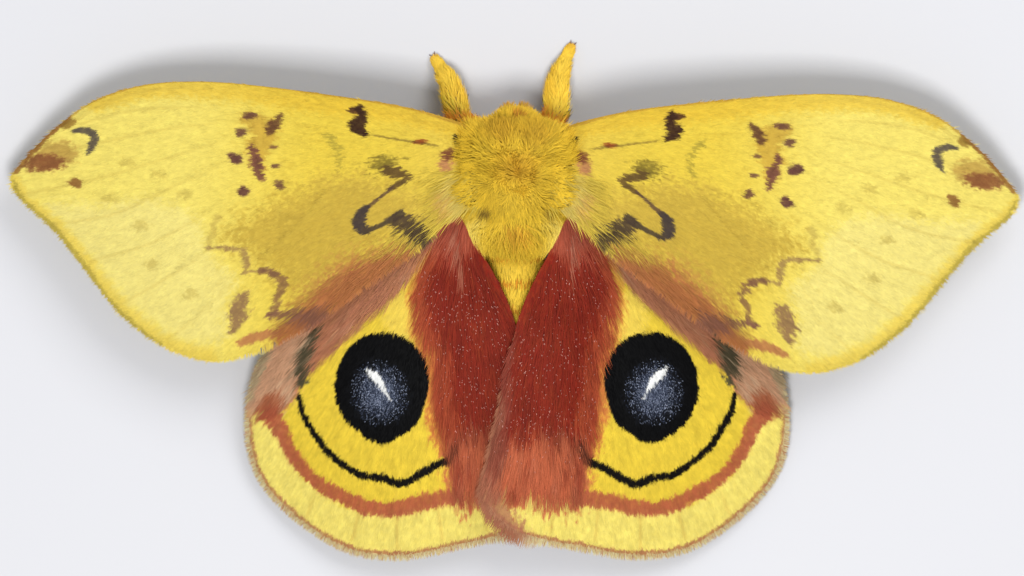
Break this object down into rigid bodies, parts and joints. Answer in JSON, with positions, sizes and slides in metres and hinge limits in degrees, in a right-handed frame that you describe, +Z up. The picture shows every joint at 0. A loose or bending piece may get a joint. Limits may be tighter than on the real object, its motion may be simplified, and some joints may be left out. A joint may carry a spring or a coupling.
{
  "type": "io moth",
  "caption": "Life-size still model of a male io moth that stands with its wings spread and its hindwing eyespots showing, furry and veined all round.",
  "frame": {"origin": "on the floor, below the middle of the box round the moth", "axes": "+Z up from the floor, +Y towards the moth's head, +X to the right in the picture's top view"},
  "size_m": [0.068, 0.0352, 0.0114],
  "materials": {
    "forewing": "powdery, matt yellow scales with brown dusting",
    "hindwing": "powdery, matt scales, maroon and yellow round a black eyespot",
    "coat": "dense golden fur",
    "abdomen": "short yellow fur with orange rings",
    "antenna": "matt buff comb with fine hairs",
    "leg": "furry yellow with rusty joints",
    "eye": "dark, faceted gloss"
  },
  "bodies": {
    "root": {"thorax": "coat", "head": "coat", "abdomen": "abdomen", "antenna_left": "antenna", "antenna_right": "antenna", "eye_left": "eye", "eye_right": "eye", "forewing_left": "forewing", "forewing_right": "forewing", "hindwing_left": "hindwing", "hindwing_right": "hindwing", "leg_front_left": "leg", "leg_front_right": "leg", "leg_hind_left": "leg", "leg_hind_right": "leg", "leg_middle_left": "leg", "leg_middle_right": "leg"}
  },
  "joints": []
}
